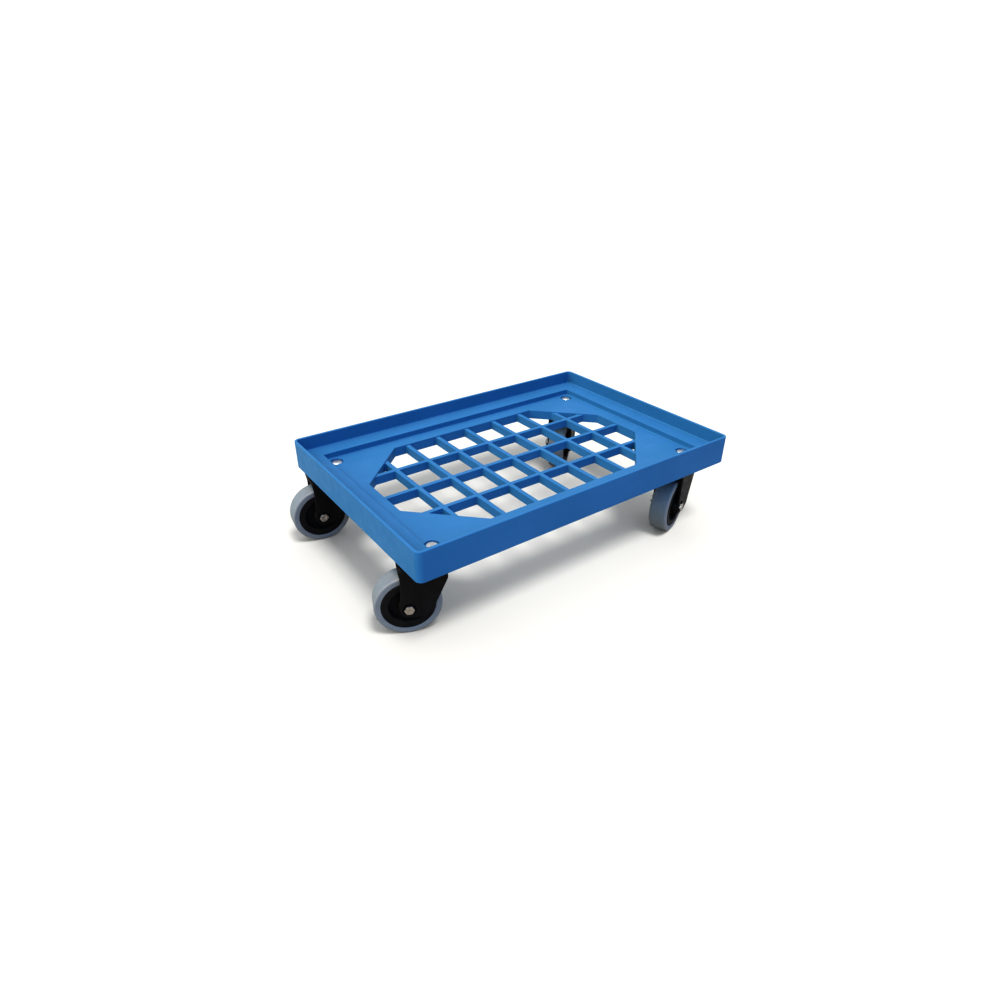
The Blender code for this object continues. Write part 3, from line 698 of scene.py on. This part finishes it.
class Surface:
    """A Principled material, and short ways to add procedural nodes to it."""

    def __init__(self, name, roughness, metallic=0.0, gloss=0.5):
        self.material = bpy.data.materials.new(name)
        self.material.use_nodes = True
        self.tree = self.material.node_tree
        self.shader = self.tree.nodes["Principled BSDF"]
        self.shader.inputs["Roughness"].default_value = roughness
        self.shader.inputs["Metallic"].default_value = metallic
        self.shader.inputs["Specular IOR Level"].default_value = gloss
        self.place = self.tree.nodes.new("ShaderNodeTexCoord").outputs["Object"]
        self.height = None

    def stretched(self, stretch):
        node = self.tree.nodes.new("ShaderNodeMapping")
        node.inputs["Scale"].default_value = stretch
        self.tree.links.new(self.place, node.inputs["Vector"])
        return node.outputs["Vector"]

    def noise(self, size, detail=3.0, roughness=0.5, stretch=(1, 1, 1)):
        """Soft noise from 0 to 1 whose blotches are about this size in metres."""
        node = self.tree.nodes.new("ShaderNodeTexNoise")
        node.inputs["Scale"].default_value = 1 / size
        node.inputs["Detail"].default_value = detail
        node.inputs["Roughness"].default_value = roughness
        self.tree.links.new(self.stretched(stretch), node.inputs["Vector"])
        return node.outputs["Fac"]

    def mapped(self, value, from_low, from_high, to_low=0.0, to_high=1.0):
        node = self.tree.nodes.new("ShaderNodeMapRange")
        node.inputs["From Min"].default_value = from_low
        node.inputs["From Max"].default_value = from_high
        node.inputs["To Min"].default_value = to_low
        node.inputs["To Max"].default_value = to_high
        self.tree.links.new(value, node.inputs["Value"])
        return node.outputs["Result"]

    def maths(self, operation, first, second):
        node = self.tree.nodes.new("ShaderNodeMath")
        node.operation = operation
        for socket, value in zip(node.inputs, (first, second)):
            if isinstance(value, (int, float)):
                socket.default_value = value
            else:
                self.tree.links.new(value, socket)
        return node.outputs["Value"]

    def mixed(self, amount, first, second):
        """A colour from first to second, each a colour or another node's output."""
        node = self.tree.nodes.new("ShaderNodeMix")
        node.data_type = "RGBA"
        self.tree.links.new(amount, node.inputs["Factor"])
        for socket, value in ((node.inputs["A"], first), (node.inputs["B"], second)):
            if isinstance(value, tuple):
                socket.default_value = (*value, 1)
            else:
                self.tree.links.new(value, socket)
        return node.outputs["Result"]

    def facing_up(self):
        node = self.tree.nodes.new("ShaderNodeNewGeometry")
        split = self.tree.nodes.new("ShaderNodeSeparateXYZ")
        self.tree.links.new(node.outputs["Normal"], split.inputs["Vector"])
        return self.mapped(split.outputs["Z"], 0.85, 0.98)

    def colour(self, value):
        self.tree.links.new(value, self.shader.inputs["Base Color"])

    def roughness(self, value):
        self.tree.links.new(value, self.shader.inputs["Roughness"])

    def bump(self, value, depth, strength=1.0):
        """Adds relief this deep in metres to what the surface has."""
        node = self.tree.nodes.new("ShaderNodeBump")
        node.inputs["Strength"].default_value = strength
        node.inputs["Distance"].default_value = depth
        self.tree.links.new(value, node.inputs["Height"])
        if self.height:
            self.tree.links.new(self.height, node.inputs["Normal"])
        self.height = node.outputs["Normal"]
        self.tree.links.new(self.height, self.shader.inputs["Normal"])


def tray_plastic():
    """Blue polypropylene: faint flow marks, a fine moulded grain, and light scuffs where crates slide."""
    surface = Surface("tray_plastic", 0.5, gloss=0.08)
    broad = surface.noise(120 * MM, 2)
    flow = surface.noise(40 * MM, 4, 0.6, (0.35, 1, 1))
    base = surface.mixed(surface.mapped(broad, 0.3, 0.7), (0.0235, 0.096, 0.181), (0.0275, 0.104, 0.194))
    base = surface.mixed(surface.mapped(flow, 0.45, 0.75, 0, 0.35), base, (0.034, 0.113, 0.222))
    scuffs_x = surface.mapped(surface.noise(4 * MM, 2, 0.5, (0.05, 1, 1)), 0.66, 0.74)
    scuffs_y = surface.mapped(surface.noise(5 * MM, 2, 0.5, (1, 0.06, 1)), 0.68, 0.76)
    patches = surface.mapped(surface.noise(60 * MM, 3), 0.5, 0.62)
    scuffs = surface.maths("MAXIMUM", scuffs_x, scuffs_y)
    worn = surface.maths("MULTIPLY", surface.maths("MULTIPLY", scuffs, patches), surface.facing_up())
    surface.colour(surface.mixed(surface.maths("MULTIPLY", worn, 0.22), base, (0.10, 0.19, 0.28)))
    grain = surface.noise(0.5 * MM, 2)
    rough = surface.mapped(surface.noise(18 * MM, 4), 0.3, 0.7, 0.44, 0.56)
    surface.roughness(surface.maths("ADD", rough, surface.maths("MULTIPLY", worn, 0.15)))
    surface.bump(grain, 0.02 * MM, 0.35)
    surface.bump(surface.noise(14 * MM, 2), 0.05 * MM, 0.25)
    return surface.material


def tyre_rubber():
    """Blue-grey elastic rubber: a faint bloom, a fine grain, a tread darkened as painted shade, and dust on
    the tread.
    """
    surface = Surface("tyre_rubber", 0.7)
    split = surface.tree.nodes.new("ShaderNodeSeparateXYZ")
    surface.tree.links.new(surface.place, split.inputs["Vector"])
    across = surface.maths("ABSOLUTE", split.outputs["Z"], 0)
    tread = surface.mapped(across, 13.4 * MM, 12.4 * MM)
    bloom = surface.noise(12 * MM, 4)
    base = surface.mixed(surface.mapped(bloom, 0.3, 0.7), (0.124, 0.118, 0.110), (0.140, 0.133, 0.124))
    # Painted shade: the tread is made darker and cooler than the sidewalls, to take back the side lamp's
    # light on it.
    base = surface.mixed(surface.maths("MULTIPLY", tread, 0.8), base, (0.090, 0.104, 0.110))
    specks = surface.mapped(surface.noise(1.2 * MM, 3, 0.6), 0.56, 0.7)
    dust = surface.maths("MULTIPLY", tread, surface.mapped(surface.noise(5 * MM, 5, 0.65), 0.42, 0.68))
    base = surface.mixed(surface.maths("MULTIPLY", specks, 0.25), base, (0.08, 0.088, 0.1))
    surface.colour(surface.mixed(surface.maths("MULTIPLY", dust, 0.35), base, (0.14, 0.145, 0.145)))
    surface.roughness(surface.mapped(surface.noise(7 * MM, 4), 0.3, 0.7, 0.6, 0.78))
    surface.bump(surface.noise(0.7 * MM, 3), 0.04 * MM, 0.5)
    surface.bump(surface.noise(6 * MM, 3), 0.12 * MM, 0.3)
    return surface.material


def black_nylon(name, low, high):
    """Black glass-filled nylon: a satin skin with faint swirls and a fine grain."""
    surface = Surface(name, 0.46, gloss=0.03)
    swirl = surface.noise(16 * MM, 4, 0.6, (1, 1, 0.5))
    swirl = surface.mapped(swirl, 0.35, 0.7)
    base = surface.mixed(swirl, (0.0115, 0.0092, 0.0077), (0.016, 0.0128, 0.0107))
    flecks = surface.mapped(surface.noise(0.9 * MM, 2), 0.66, 0.74)
    surface.colour(surface.mixed(surface.maths("MULTIPLY", flecks, 0.3), base, (0.03, 0.03, 0.03)))
    surface.roughness(surface.mapped(surface.noise(9 * MM, 4), 0.3, 0.7, low, high))
    surface.bump(surface.noise(0.6 * MM, 3), 0.03 * MM, 0.4)
    surface.bump(surface.noise(9 * MM, 2), 0.06 * MM, 0.3)
    return surface.material


def zinc_steel(name, dark, light, dull):
    """Zinc plate with fine turning marks and dull patches."""
    surface = Surface(name, 0.3, 1.0)
    base = surface.mixed(surface.mapped(surface.noise(4 * MM, 3), 0.35, 0.65), dark, light)
    patches = surface.mapped(surface.noise(1.5 * MM, 4, 0.6), 0.5, 0.75)
    surface.colour(surface.mixed(surface.maths("MULTIPLY", patches, 0.4), base, dull))
    surface.roughness(surface.mapped(surface.noise(2.5 * MM, 4), 0.3, 0.7, 0.24, 0.42))
    surface.bump(surface.noise(0.35 * MM, 2), 0.012 * MM, 0.5)
    surface.bump(surface.noise(2 * MM, 2), 0.03 * MM, 0.3)
    return surface.material


def bearing_steel():
    """Ground steel under a smear of brown grease."""
    surface = Surface("bearing_steel", 0.2, 1.0)
    smear = surface.mapped(surface.noise(3 * MM, 4, 0.6), 0.45, 0.65)
    surface.colour(surface.mixed(smear, (0.55, 0.55, 0.56), (0.30, 0.24, 0.15)))
    surface.roughness(surface.mapped(smear, 0, 1, 0.14, 0.38))
    surface.bump(surface.noise(1.2 * MM, 3), 0.03 * MM, 0.4)
    return surface.material


def bushing_plastic():
    """Natural acetal, off-white and slightly waxy."""
    surface = Surface("bushing_plastic", 0.45)
    cloud = surface.mapped(surface.noise(5 * MM, 3), 0.35, 0.65)
    surface.colour(surface.mixed(cloud, (0.66, 0.63, 0.55), (0.74, 0.71, 0.64)))
    surface.roughness(surface.mapped(surface.noise(2 * MM, 3), 0.3, 0.7, 0.38, 0.52))
    surface.bump(surface.noise(0.5 * MM, 2), 0.015 * MM, 0.4)
    return surface.material


# Placing the pieces


def place(name, mesh, material, slot, where, body, node):
    piece = bpy.data.objects.new(name, mesh)
    if not mesh.materials:
        mesh.materials.append(material)
    bpy.context.scene.collection.objects.link(piece)
    piece.matrix_world = where
    normals = piece.modifiers.new("flat faces stay flat", "WEIGHTED_NORMAL")
    normals.keep_sharp = True
    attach(piece, body)
    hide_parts(node)
    return piece


def joint_named(name):
    return next(joint for joint in frame["joints"] if joint["name"] == name)


def frame_at(origin, x_axis, y_axis, z_axis):
    turn = Matrix((x_axis, y_axis, z_axis)).transposed()
    return Matrix.Translation(origin) @ turn.to_4x4()


def caster_pieces():
    """Each piece of a caster: its name, mesh, material, the CAD node it stands for, what it turns with."""
    bore = KINGPIN_RADIUS + GAP
    washer_top = LOWER_CUP_UNDERSIDE - GAP
    washer_bottom = washer_top - WASHER_THICKNESS
    nut_top = washer_bottom - GAP
    washer = tube_mesh("washer", bore, WASHER_RADIUS, washer_bottom, washer_top, 0.25 * MM)
    king_nut = nut_mesh(KINGPIN_HEX, bore, nut_top - KINGPIN_NUT, nut_top)
    height = CROWN_TOP + GAP + TOP_BALL_RADIUS
    upper = ball_ring_mesh("upper_bearing", TOP_BALL_CIRCLE, TOP_BALL_RADIUS, height, TOP_BALLS)
    height = LOWER_CUP_TOP + GAP + LOWER_BALL_RADIUS
    lower = ball_ring_mesh("lower_bearing", LOWER_BALL_CIRCLE, LOWER_BALL_RADIUS, height, LOWER_BALLS)
    axle_nut = nut_mesh(AXLE_HEX, AXLE_RADIUS + GAP, -AXLE_SEAT - AXLE_NUT, -AXLE_SEAT)
    half = FORK_HALF_WIDTH - FORK_WALL - GAP
    spacer = tube_mesh("axle_spacer", AXLE_RADIUS + GAP, SLEEVE_RADIUS, -half, half)
    half = BUSHING_HALF_WIDTH
    bushing = tube_mesh("wheel_bearing", SLEEVE_RADIUS + GAP, BUSHING_RADIUS, -half, half)
    return [
        ("king_bolt", kingpin_mesh(), "zinc_painted_reflection", "kingpin_bolt", "deck"),
        ("upper_cup", top_cup_mesh(), "zinc_steel", "top_race", "deck"),
        ("lower_cup", lower_cup_mesh(), "zinc_steel", "lower_race", "deck"),
        ("king_washer", washer, "zinc_steel", "kingpin_washer", "deck"),
        ("king_lock_nut", king_nut, "zinc_steel", "kingpin_nut", "deck"),
        ("upper_bearing", upper, "bearing_steel", "top_balls", "caster"),
        ("lower_bearing", lower, "bearing_steel", "lower_balls", "caster"),
        ("caster_fork", fork_mesh(), "fork_plastic", "fork", "caster"),
        ("axle_screw", axle_bolt_mesh(), "zinc_steel", "axle_bolt", "axle"),
        ("axle_lock_nut", axle_nut, "zinc_steel", "axle_nut", "axle"),
        ("axle_spacer", spacer, "zinc_steel", "axle_sleeve", "axle"),
        ("wheel_bearing", bushing, "bushing_plastic", "hub_bushing", "wheel"),
        ("wheel_centre", rim_mesh(), "rim_plastic", "wheel_rim", "wheel"),
        ("wheel_tyre", tyre_mesh(), "tyre_rubber", "tyre", "wheel"),
    ]


def build_object():
    up = Vector((0, 0, 1))
    ground = cad_box[0].z
    dull_zinc = ((0.25, 0.22, 0.19), (0.33, 0.30, 0.27), (0.18, 0.155, 0.13))
    # Painted reflection: the kingpin heads' zinc is lighter and bluer, standing in for the bright studio
    # they reflect.
    zinc_painted_reflection = ((0.45, 0.47, 0.49), (0.56, 0.58, 0.60), (0.31, 0.32, 0.33))
    materials = {
        "tray_plastic": tray_plastic(),
        "tyre_rubber": tyre_rubber(),
        "rim_plastic": black_nylon("rim_plastic", 0.4, 0.55),
        "fork_plastic": black_nylon("fork_plastic", 0.34, 0.48),
        "zinc_steel": zinc_steel("zinc_steel", *dull_zinc),
        "zinc_painted_reflection": zinc_steel("zinc_painted_reflection", *zinc_painted_reflection),
        "bearing_steel": bearing_steel(),
        "bushing_plastic": bushing_plastic(),
    }
    # The CAD's material slots are named like the materials here, except for this one, a copy of zinc_steel
    # made lighter and bluer as painted reflection.
    slots = {"zinc_painted_reflection": "zinc_steel"}
    pieces = caster_pieces()
    tray = tray_mesh()
    on_floor = Matrix.Translation((0, 0, ground))
    place("tray_moulding", tray, materials["tray_plastic"], "tray_plastic", on_floor, "deck", "tray")
    for corner in CORNERS:
        swivel, spin = joint_named(f"swivel_{corner}"), joint_named(f"wheel_spin_{corner}")
        axle = Vector(spin["axis"])
        trailing = axle.cross(up)
        kingpin = Vector((swivel["pos_m"][0], swivel["pos_m"][1], ground))
        standing = frame_at(kingpin, trailing, axle, up)
        lying = frame_at(Vector(spin["pos_m"]), trailing, -up, axle)
        for name, mesh, material, node, moves_with in pieces:
            where = lying if moves_with in ("axle", "wheel") else standing
            body = {"deck": "deck", "wheel": f"wheel_{corner}"}.get(moves_with, f"caster_{corner}")
            slot = slots.get(material, material)
            place(f"{name}_{corner}", mesh, materials[material], slot, where, body, f"{node}_{corner}")


# Studio

CAMERA_AZIMUTH = radians(-36.49)
CAMERA_ELEVATION = radians(29.96)
CAMERA_ROLL = radians(0.59)
CAMERA_DISTANCE = 0.93548
CAMERA_TARGET = Vector((-0.14218, -0.15622, 0.0358))
CAMERA_LENS_MM = 23.91


def add_camera():
    level = cos(CAMERA_ELEVATION)
    back = Vector((sin(CAMERA_AZIMUTH) * level, -cos(CAMERA_AZIMUTH) * level, sin(CAMERA_ELEVATION)))
    right = Vector((cos(CAMERA_AZIMUTH), sin(CAMERA_AZIMUTH), 0))
    up = back.cross(right)
    rolled_right = right * cos(CAMERA_ROLL) + up * sin(CAMERA_ROLL)
    rolled_up = up * cos(CAMERA_ROLL) - right * sin(CAMERA_ROLL)
    camera = bpy.data.objects.new("camera", bpy.data.cameras.new("camera"))
    camera.data.lens = CAMERA_LENS_MM
    camera.data.clip_end = 50
    camera.matrix_world = frame_at(CAMERA_TARGET + back * CAMERA_DISTANCE, rolled_right, rolled_up, back)
    bpy.context.scene.collection.objects.link(camera)
    bpy.context.scene.camera = camera


def add_sun(name, towards, strength, softness, colour, floor, on_floor):
    """A distant light, softness degrees across, for the floor alone or for all but the floor."""
    sun = bpy.data.lights.new(name, "SUN")
    sun.energy = strength
    sun.color = colour
    sun.angle = radians(softness)
    light = bpy.data.objects.new(name, sun)
    light.rotation_euler = Vector(towards).to_track_quat("-Z", "Y").to_euler()
    bpy.context.scene.collection.objects.link(light)
    lit = bpy.data.collections.new(f"lit_by_{name}")
    lit.objects.link(floor)
    lit.collection_objects[0].light_linking.link_state = "INCLUDE" if on_floor else "EXCLUDE"
    light.light_linking.receiver_collection = lit


def add_floor():
    bm = bmesh.new()
    bmesh.ops.create_grid(bm, x_segments=1, y_segments=1, size=40)
    mesh = bpy.data.meshes.new("floor")
    bm.to_mesh(mesh)
    bm.free()
    floor = bpy.data.objects.new("floor", mesh)
    floor.location.z = cad_box[0].z
    bpy.context.scene.collection.objects.link(floor)
    surface = Surface("floor_paint", 0.8, gloss=0.2)
    surface.colour(surface.mixed(surface.noise(0.4, 3), (0.71, 0.69, 0.65), (0.73, 0.71, 0.67)))
    mesh.materials.append(surface.material)
    return floor


def add_studio():
    world = bpy.data.worlds.new("studio")
    world.use_nodes = True
    background = world.node_tree.nodes["Background"]
    background.inputs["Color"].default_value = (0.97, 0.99, 1.02, 1)
    background.inputs["Strength"].default_value = 0.72
    bpy.context.scene.world = world
    floor = add_floor()
    white = (1, 1, 1)
    add_sun("key", (0.15, 0.0, -1), 1.95, 18, (1.6, 1.16, 0.88), floor, False)
    add_sun("side", (1, -0.2, -0.7), 2.9, 50, (0.74, 0.98, 1.06), floor, False)
    add_sun("fill", (0.1, 1, -1.1), 1.3, 60, (0.05, 0.75, 2.1), floor, False)
    add_sun("floor_key", (0.0, 0.38, -1), 1.6, 18, white, floor, True)
    bpy.context.scene.view_settings.view_transform = "Standard"
    bpy.context.scene.view_settings.look = "High Contrast"


build_object()
add_camera()
add_studio()
bpy.context.view_layer.update()
